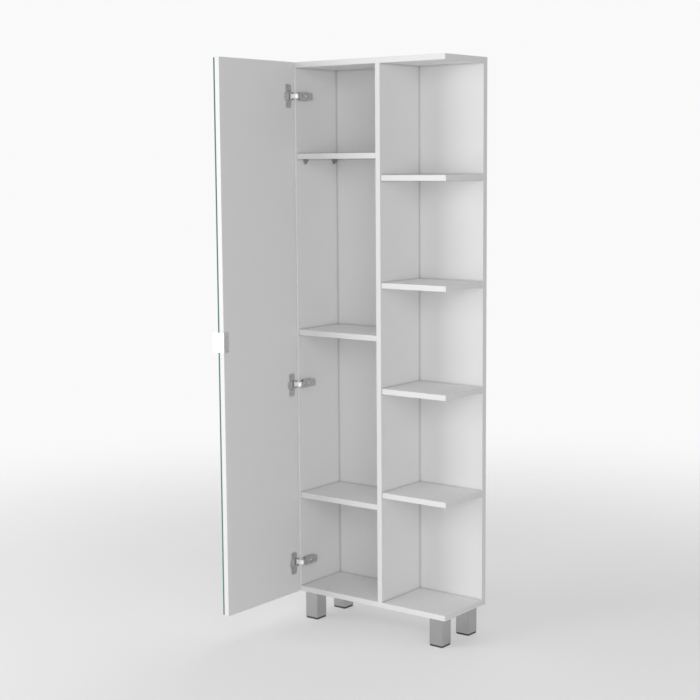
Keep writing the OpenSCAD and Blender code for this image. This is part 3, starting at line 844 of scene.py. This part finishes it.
def mesh_from(work: bmesh.types.BMesh, name: str) -> bpy.types.Mesh:
    """Turns a working mesh into a lasting one.

    Args:
        work: The working mesh, which is freed.
        name: Name of the lasting one.

    Returns:
        The lasting mesh.
    """
    mesh = bpy.data.meshes.new(name)
    work.to_mesh(mesh)
    work.free()
    return mesh


def put_in_scene(name: str, data: bpy.types.ID) -> bpy.types.Object:
    """Puts a mesh, a lamp or a camera in the scene.

    Args:
        name: Name of the new object.
        data: What it shows.

    Returns:
        The new object.
    """
    made = bpy.data.objects.new(name, data)
    bpy.context.scene.collection.objects.link(made)
    return made


def weight_normals(piece: bpy.types.Object) -> None:
    """Keeps the broad faces of a piece flat beside its eased edges.

    Args:
        piece: The piece.
    """
    weigh = piece.modifiers.new("flat_faces", "WEIGHTED_NORMAL")
    weigh.keep_sharp = True
    weigh.weight = BROAD_FACE_WEIGHT


# Pieces


@dataclass
class Piece:
    """A CAD node, shown by a dressed copy of its mesh."""

    node: str
    body: Body = Body.CABINET
    slot: Slot = Slot.WHITE_BOARD

    suffix = "dressed"

    @cached_property
    def box(self) -> tuple[Vector, Vector]:
        """Gives the lowest and the highest corner of the node."""
        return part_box(self.node)

    def build(self, finishes: Finishes) -> bpy.types.Object:
        """Shapes and dresses the piece, which rides on its body and stands for its node.

        Args:
            finishes: The cabinet's finishes.

        Returns:
            The new piece.
        """
        work = self.shape()
        worn = self.sort_faces(work, finishes)
        mark_sharp(work)
        name = f"{self.node}_{self.suffix}"
        piece = put_in_scene(name, mesh_from(work, name))
        for finish in worn:
            piece.data.materials.append(finish.material())
        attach(piece, self.body.value)
        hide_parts(self.node)
        self.work_on(piece)
        return piece

    def sort_faces(self, work: bmesh.types.BMesh, finishes: Finishes) -> list[Finish]:
        """Gives each face the number of its finish.

        Args:
            work: The piece's mesh.
            finishes: The cabinet's finishes.

        Returns:
            The finishes in the order of their numbers, the slot's own first.
        """
        worn = [finishes.for_slot(self.slot)]
        for face in work.faces:
            finish = self.finish_at(face, finishes)
            if finish not in worn:
                worn.append(finish)
            face.material_index = worn.index(finish)
        return worn

    def shape(self) -> bmesh.types.BMesh:
        """Shapes the mesh, here as a plain copy of the node's."""
        return skin_of(self.node)

    def finish_at(self, face: bmesh.types.BMFace, finishes: Finishes) -> Finish:
        """Picks the finish of a face, here the slot's own for all."""
        return finishes.for_slot(self.slot)

    def work_on(self, piece: bpy.types.Object) -> None:
        """Works on the piece in the scene, here with nothing to add."""


@dataclass
class Board(Piece):
    """A board with eased edges, banded all round, and raw chips inside its bores."""

    edge_radius: float = 0.5 * MM
    edge_steps: int = 3
    on_face: float = 0.02 * MM
    # True gives the board the lit copy of the edging: painted light.
    painted_light_band: bool = False

    suffix = "eased"

    def shape(self) -> bmesh.types.BMesh:
        """Eases the edges of the board's box.

        Returns:
            The board's mesh.
        """
        work = skin_of(self.node)
        edges = [e for e in work.edges
                 if self.sides_at((e.verts[0].co + e.verts[1].co) / 2) == 2
                 and all(self.sides_at(v.co) >= 2 for v in e.verts)]
        ease_edges(work, edges, self.edge_radius, self.edge_steps)
        return work

    def gaps(self, point: Vector) -> list[float]:
        """Measures along each axis how far a point is from the nearer side of the box."""
        low, high = self.box
        return [min(abs(point[i] - low[i]), abs(point[i] - high[i])) for i in range(3)]

    def sides_at(self, point: Vector) -> int:
        """Counts the sides that a point lies on: 1 on a face, 2 on an edge, 3 on a corner."""
        return sum(gap < self.on_face for gap in self.gaps(point))

    def finish_at(self, face: bmesh.types.BMFace, finishes: Finishes) -> Finish:
        """Tells broad faces, banded edges and bored core apart.

        Args:
            face: A face of the board.
            finishes: The cabinet's finishes.

        Returns:
            Its finish.
        """
        sizes = self.box[1] - self.box[0]
        thin = min(range(3), key=lambda i: sizes[i])
        gaps = self.gaps(face.calc_center_median())
        if gaps[thin] < self.on_face:
            return finishes.melamine
        if min(gaps) < self.edge_radius:
            # The lit copy of the edging paints light on the chosen boards.
            return finishes.painted_light_edging if self.painted_light_band else finishes.edging
        return finishes.core

    def work_on(self, piece: bpy.types.Object) -> None:
        """Keeps the broad faces flat."""
        weight_normals(piece)


@dataclass
class Fitting(Piece):
    """A metal or plastic fitting whose sharp edges are broken."""

    edge_radius: float = 0.2 * MM
    edge_steps: int = 2

    def work_on(self, piece: bpy.types.Object) -> None:
        """Breaks the sharp edges.

        Args:
            piece: The fitting.
        """
        ease = piece.modifiers.new("broken_edges", "BEVEL")
        ease.width = self.edge_radius
        ease.segments = self.edge_steps
        ease.limit_method = "ANGLE"
        ease.angle_limit = SHARP_ANGLE
        ease.use_clamp_overlap = True
        weight_normals(piece)


@dataclass
class HingePart(Fitting):
    """A cup or an arm: satin nickel, with painted shade where it is sunk in the door."""

    @cached_property
    def door_face(self) -> float:
        """Finds the plane of the door's inner face."""
        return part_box("door_panel")[1].x

    def finish_at(self, face: bmesh.types.BMFace, finishes: Finishes) -> Finish:
        """Gives what is sunk below the door's inner face painted shade, apart from the rest."""
        # Painted shade on what is sunk below the door's inner face.
        is_sunk = face.calc_center_median().x < self.door_face
        return finishes.painted_shade_nickel if is_sunk else finishes.nickel


@dataclass
class HingeArm(HingePart):
    """An arm, whose strap has a painted highlight in the open between door and cabinet."""

    bend_end: float = 3.5 * MM

    @cached_property
    def bend(self) -> float:
        """Finds where the bend of the strap ends, in front of the side panel."""
        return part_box("left_side_panel")[0].y - self.bend_end

    def finish_at(self, face: bmesh.types.BMFace, finishes: Finishes) -> Finish:
        """Gives the open stretch of the strap its painted highlight, apart from the rest.

        Args:
            face: A face of the arm.
            finishes: The cabinet's finishes.

        Returns:
            Its finish.
        """
        centre = face.calc_center_median()
        # Painted highlight on the open stretch of the strap.
        if centre.x > self.door_face and centre.y < self.bend:
            return finishes.painted_highlight_nickel
        return super().finish_at(face, finishes)


@dataclass
class ScrewGroup(Piece):
    """The screws of one node, each with a recess in its head."""

    slot: Slot = Slot.ZINC_STEEL
    drive: Drive = Drive.CROSS
    recess_share: float = 0.58
    depth_share: float = 0.84
    blade_share: float = 0.17
    foot_share: float = 0.35
    corner_share: float = 1.05
    lead: float = 0.3 * MM
    end_band: float = 0.25 * MM
    tie_band: float = 0.025 * MM

    suffix = "driven"

    def work_on(self, piece: bpy.types.Object) -> None:
        """Cuts the recesses into the heads.

        Args:
            piece: The screws.
        """
        work = bmesh.new()
        work.from_mesh(piece.data)
        screws = self.islands(work)
        work.free()
        cutters = bmesh.new()
        for points in screws:
            self.cut_shape(cutters, *self.head_of(points))
        self.subtract(piece, cutters)
        LOG.info("%s: %d %s recesses", piece.name, len(screws), self.drive.value)

    def islands(self, work: bmesh.types.BMesh) -> list[list[Vector]]:
        """Splits the mesh into its screws.

        Args:
            work: The mesh of all the screws.

        Returns:
            The points of each screw.
        """
        seen: set[bmesh.types.BMVert] = set()
        found: list[list[Vector]] = []
        for start in work.verts:
            if start in seen:
                continue
            seen.add(start)
            todo, points = [start], []
            while todo:
                vertex = todo.pop()
                points.append(vertex.co.copy())
                for edge in vertex.link_edges:
                    other = edge.other_vert(vertex)
                    if other not in seen:
                        seen.add(other)
                        todo.append(other)
            found.append(points)
        return found

    def head_of(self, points: list[Vector]) -> tuple[Vector, Vector, float]:
        """Finds the head of a screw.

        Args:
            points: The points of the screw.

        Returns:
            The middle of the head's face, the direction out of it, and its radius.
        """
        low = Vector(map(min, *points))
        high = Vector(map(max, *points))
        sizes, middle = high - low, (low + high) / 2
        short, even, long = sorted(range(3), key=lambda i: sizes[i])
        axis = long if sizes[long] - sizes[even] > sizes[even] - sizes[short] else short
        across = [i for i in range(3) if i != axis]
        widths = [max(math.hypot(*(p[i] - middle[i] for i in across)) for p in points
                      if abs(p[axis] - end[axis]) < self.end_band) for end in (low, high)]
        at_high = widths[1] > widths[0] - self.tie_band
        head = middle.copy()
        head[axis] = high[axis] if at_high else low[axis]
        out = Vector((0.0, 0.0, 0.0))
        out[axis] = 1.0 if at_high else -1.0
        return head, out, max(widths)

    def outline(self, reach: float, half_blade: float) -> list[tuple[float, float]]:
        """Draws the recess as a closed outline.

        Args:
            reach: Distance from the middle to the recess's tips.
            half_blade: Half the width of a cross's blade.

        Returns:
            The outline's points in turn.
        """
        if self.drive is Drive.HEXAGON:
            turns = [math.radians(60 * i) for i in range(6)]
            return [(reach * math.cos(a), reach * math.sin(a)) for a in turns]
        quarter = [(reach, -half_blade), (reach, half_blade), (half_blade, half_blade)]
        return [(x * c - y * s, x * s + y * c) for c, s in ((1, 0), (0, 1), (-1, 0), (0, -1))
                for x, y in quarter]

    def cut_shape(self, cutters: bmesh.types.BMesh, head: Vector, out: Vector,
                  radius: float) -> None:
        """Adds the solid that is cut from one head.

        Args:
            cutters: The mesh that gathers the cutters.
            head: Middle of the head's face.
            out: Direction out of the head.
            radius: Radius of the head.
        """
        reach = radius * self.recess_share
        blade = radius * self.blade_share
        foot = 1.0 if self.drive is Drive.HEXAGON else self.foot_share
        turn = out.to_track_quat("Z", "X").to_matrix()
        levels = ((self.lead, 1.0), (-radius * self.depth_share, foot))
        rings = [[cutters.verts.new(head + turn @ Vector((x, y, z)))
                  for x, y in self.outline(max(reach * share, blade * self.corner_share), blade)]
                 for z, share in levels]
        cutters.faces.new(rings[0])
        cutters.faces.new(rings[1][::-1])
        size = len(rings[0])
        for i in range(size):
            j = (i + 1) % size
            cutters.faces.new((rings[0][i], rings[1][i], rings[1][j], rings[0][j]))

    def subtract(self, piece: bpy.types.Object, cutters: bmesh.types.BMesh) -> None:
        """Takes the cutters out of the screws for good.

        Args:
            piece: The screws.
            cutters: The mesh of all the cutters, which is freed.
        """
        bmesh.ops.recalc_face_normals(cutters, faces=cutters.faces)
        tool = put_in_scene("recess_cutters", mesh_from(cutters, "recess_cutters"))
        cut = piece.modifiers.new("recesses", "BOOLEAN")
        cut.operation, cut.object, cut.solver = "DIFFERENCE", tool, "EXACT"
        graph = bpy.context.evaluated_depsgraph_get()
        result = bpy.data.meshes.new_from_object(piece.evaluated_get(graph))
        piece.modifiers.remove(cut)
        piece.data = result
        bpy.data.objects.remove(tool)


@dataclass
class MirrorPane(Piece):
    """The glass on the door: silvered face, polished green edge and painted back."""

    node: str = "door_mirror"
    body: Body = Body.DOOR
    slot: Slot = Slot.MIRROR_GLASS
    arris: float = 0.5 * MM
    facing: float = 0.9

    suffix = "pane"

    def shape(self) -> bmesh.types.BMesh:
        """Cuts the pane and grinds its arris all round.

        Returns:
            The pane's mesh.
        """
        low, high = self.box
        work = bmesh.new()
        bmesh.ops.create_cube(work, size=1.0, matrix=Matrix.Translation((low + high) / 2)
                              @ Matrix.Diagonal((*(high - low), 1.0)))
        ease_edges(work, list(work.edges), self.arris, 1)
        bmesh.ops.recalc_face_normals(work, faces=work.faces)
        return work

    def finish_at(self, face: bmesh.types.BMFace, finishes: Finishes) -> Finish:
        """Tells the silvered face, the painted back and the edge apart.

        Args:
            face: A face of the pane.
            finishes: The cabinet's finishes.

        Returns:
            Its finish.
        """
        if face.normal.x < -self.facing:
            return finishes.silver
        return finishes.backing if face.normal.x > self.facing else finishes.glass_edge


# Sub-assemblies


class SubAssembly:
    """A part of the cabinet that is made of several pieces."""

    def pieces(self) -> list[Piece]:
        """Lists its pieces in the order of their making."""
        raise NotImplementedError

    def build(self, finishes: Finishes) -> list[bpy.types.Object]:
        """Builds and dresses its pieces."""
        return [piece.build(finishes) for piece in self.pieces()]


@dataclass
class Carcass(SubAssembly):
    """The boards that make the body of the cabinet, with what joins them."""

    boards: tuple[str, ...] = (
        "left_side_panel", "divider_panel", "top_panel", "bottom_panel", "back_panel",
        "inner_shelf_lower", "inner_shelf_middle", "inner_shelf_upper", "open_shelf_1",
        "open_shelf_2", "open_shelf_3", "open_shelf_4")
    # These boards get the lit copy of the edging: painted light on their edges.
    painted_light_banded: tuple[str, ...] = ("left_side_panel",)
    edge_radius: float = 0.5 * MM
    support_edge: float = 0.3 * MM

    def pieces(self) -> list[Piece]:
        """Lists the boards, their supports and their screws.

        Returns:
            The pieces in the order of their making.
        """
        boards = [Board(node, edge_radius=self.edge_radius,
                        painted_light_band=node in self.painted_light_banded) for node in self.boards]
        return [*boards, Fitting("shelf_supports", Body.CABINET, Slot.SUPPORT_PLASTIC,
                                 self.support_edge),
                ScrewGroup("carcass_screws", drive=Drive.HEXAGON)]


@dataclass
class Underframe(SubAssembly):
    """The four square legs with their glides and their screws."""

    corners: tuple[str, ...] = ("front_left", "front_right", "rear_left", "rear_right")
    tube_edge: float = 0.3 * MM
    tread_edge: float = 0.6 * MM

    def pieces(self) -> list[Piece]:
        """Lists the legs and what ends them.

        Returns:
            The pieces in the order of their making.
        """
        kinds = (("leg", Slot.LEG_ALUMINIUM, self.tube_edge),
                 ("glide", Slot.BLACK_PLASTIC, self.tread_edge))
        feet = [Fitting(f"{name}_{corner}", Body.CABINET, slot, edge)
                for corner in self.corners for name, slot, edge in kinds]
        return [*feet, ScrewGroup("leg_screws")]


@dataclass
class Hinges(SubAssembly):
    """The three hinges: plates and arms on the cabinet, and cups on the door."""

    heights: tuple[str, ...] = ("lower", "middle", "upper")
    sheet_edge: float = 0.25 * MM
    adjuster_recess: float = 0.85
    adjuster_blade: float = 0.3

    def pieces(self) -> list[Piece]:
        """Lists the hinges and their screws.

        Returns:
            The pieces in the order of their making.
        """
        kinds = ((Fitting, "hinge_plate", Body.CABINET), (HingeArm, "hinge_arm", Body.CABINET),
                 (HingePart, "hinge_cup", Body.DOOR))
        sheets = [kind(f"{name}_{height}", body, Slot.NICKEL_STEEL, self.sheet_edge)
                  for height in self.heights for kind, name, body in kinds]
        return [*sheets, ScrewGroup("hinge_plate_screws"), ScrewGroup("arm_fixing_screws"),
                ScrewGroup("cup_screws", Body.DOOR),
                ScrewGroup("arm_adjusting_screws", recess_share=self.adjuster_recess,
                           blade_share=self.adjuster_blade)]


@dataclass
class Door(SubAssembly):
    """The door board with its mirror and its edge pull."""

    edge_radius: float = 0.5 * MM
    pull_edge: float = 0.3 * MM

    def pieces(self) -> list[Piece]:
        """Lists the door and what it carries.

        Returns:
            The pieces in the order of their making.
        """
        return [Board("door_panel", Body.DOOR, edge_radius=self.edge_radius), MirrorPane(),
                Fitting("edge_pull", Body.DOOR, Slot.PULL_METAL, self.pull_edge),
                ScrewGroup("pull_screws", Body.DOOR)]


def dress_nodes(finishes: Finishes) -> None:
    """Gives every CAD node the finish of its slot, also where a piece stands for it.

    Args:
        finishes: The cabinet's finishes.
    """
    for part in frame["record"]["subparts"]:
        node = frame["nodes"][part["node"]]
        node.data.materials.clear()
        node.data.materials.append(finishes.for_slot(Slot(part["material_slot"])).material())


# The studio


@dataclass
class PhotoCamera:
    """The camera, as the perspective of the photograph gives it."""

    place: Place = (2.399588, -3.302927, 1.289605)
    yaw: float = 0.65433
    pitch: float = 0.12489
    roll: float = 0.00756
    focal_pixels: float = 1493.274
    picture_pixels: float = 700.0
    sensor: float = 36.0
    view_reach: float = 200.0

    def build(self) -> bpy.types.Object:
        """Sets up the camera.

        Returns:
            The camera.
        """
        forward = Vector((-math.sin(self.yaw) * math.cos(self.pitch),
                          math.cos(self.yaw) * math.cos(self.pitch), -math.sin(self.pitch)))
        level = Vector((math.cos(self.yaw), math.sin(self.yaw), 0.0))
        down = forward.cross(level)
        right = math.cos(self.roll) * level + math.sin(self.roll) * down
        below = -math.sin(self.roll) * level + math.cos(self.roll) * down
        data = bpy.data.cameras.new("photo_camera")
        data.sensor_width = self.sensor
        data.lens = self.focal_pixels / self.picture_pixels * self.sensor
        data.clip_end = self.view_reach
        camera = put_in_scene("photo_camera", data)
        turn = Matrix((right, -below, -forward)).transposed().to_4x4()
        camera.matrix_world = Matrix.Translation(self.place) @ turn
        bpy.context.scene.camera = camera
        return camera


@dataclass
class Lamp:
    """A broad soft lamp that the camera doesn't see."""

    name: str
    place: Place
    aim: Place
    radiance: float
    width: float = 2.4
    height: float = 2.2

    def build(self) -> bpy.types.Object:
        """Hangs the lamp.

        Returns:
            The lamp.
        """
        data = bpy.data.lights.new(self.name, "AREA")
        data.shape = "RECTANGLE"
        data.size, data.size_y = self.width, self.height
        data.energy = self.radiance * math.pi * self.width * self.height
        lamp = put_in_scene(self.name, data)
        lamp.location = self.place
        way = Vector(self.aim) - Vector(self.place)
        lamp.rotation_euler = way.to_track_quat("-Z", "Y").to_euler()
        lamp.visible_camera = False
        return lamp


@dataclass
class Studio:
    """The pale floor, the even room light and the lamps."""

    room_light: float = 0.33
    backdrop: float = 0.95
    floor_paint: Finish = FloorPaint("pale_floor", (0.9, 0.9, 0.9), gloss=0.7, tone_shift=0.02)
    floor_reach: float = 14.0
    floor_sides: int = 96
    mirror: str = "door_mirror_pane"
    lamps: tuple[Lamp, ...] = field(default_factory=lambda: (
        Lamp("front_left_lamp", (-1.9, -2.5, 1.25), (0.1, 0.0, 0.85), 3.14),
        Lamp("front_right_lamp", (2.2, -2.6, 1.4), (0.0, 0.0, 0.85), 2.1),
        Lamp("rear_lamp", (-0.5, 2.2, 3.2), (0.0, 0.0, 1.0), 1.3)))

    def build(self) -> None:
        """Builds the world, the floor and the lamps."""
        self.build_world()
        self.build_floor()
        self.shield_mirror([lamp.build() for lamp in self.lamps])
        LOG.info("studio: %d lamps", len(self.lamps))

    def shield_mirror(self, lamps: Iterable[bpy.types.Object]) -> None:
        """Keeps the lamps out of the mirror, which would show them as white panes.

        Args:
            lamps: The lamps in place.
        """
        shield = bpy.data.collections.new("mirror_shield")
        shield.objects.link(bpy.data.objects[self.mirror])
        shield.collection_objects[0].light_linking.link_state = "EXCLUDE"
        for lamp in lamps:
            lamp.light_linking.receiver_collection = shield

    def seen_directly(self, graph: Graph) -> bpy.types.NodeSocket:
        """Tells the rays that see the backdrop from those that carry light.

        Args:
            graph: The tree that asks.

        Returns:
            1 for camera, glossy and transmission rays, and else 0.
        """
        path = graph.add("ShaderNodeLightPath")
        either = graph.maths("MAXIMUM", path.outputs["Is Camera Ray"],
                             path.outputs["Is Glossy Ray"])
        return graph.maths("MAXIMUM", either, path.outputs["Is Transmission Ray"])

    def build_world(self) -> None:
        """Makes the pale backdrop and the even light of the room."""
        world = bpy.data.worlds.new("studio_room")
        world.use_nodes = True
        bpy.context.scene.world = world
        graph = Graph(world.node_tree)
        room, seen = (graph.add("ShaderNodeBackground", {"Strength": strength, "Color": WHITE})
                      for strength in (self.room_light, self.backdrop))
        mixed = graph.add("ShaderNodeMixShader", {0: self.seen_directly(graph),
                                                  1: room.outputs[0], 2: seen.outputs[0]})
        graph.add("ShaderNodeOutputWorld", {"Surface": mixed.outputs[0]})

    def build_floor(self) -> None:
        """Lays the pale floor."""
        work = bmesh.new()
        bmesh.ops.create_circle(work, cap_ends=True, radius=self.floor_reach,
                                segments=self.floor_sides)
        floor = put_in_scene("studio_floor", mesh_from(work, "studio_floor"))
        floor.data.materials.append(self.floor_paint.material())


def main() -> None:
    """Builds the cabinet's looks and the studio in order."""
    logging.basicConfig(level=logging.INFO, format="%(name)s: %(message)s")
    finishes = Finishes()
    dress_nodes(finishes)
    for part in (Carcass(), Underframe(), Hinges(), Door()):
        for piece in part.build(finishes):
            LOG.info("%s: %d faces", piece.name, len(piece.data.polygons))
    PhotoCamera().build()
    Studio().build()
    bpy.context.scene.view_settings.view_transform = "Standard"


if __name__ == "__main__":
    main()
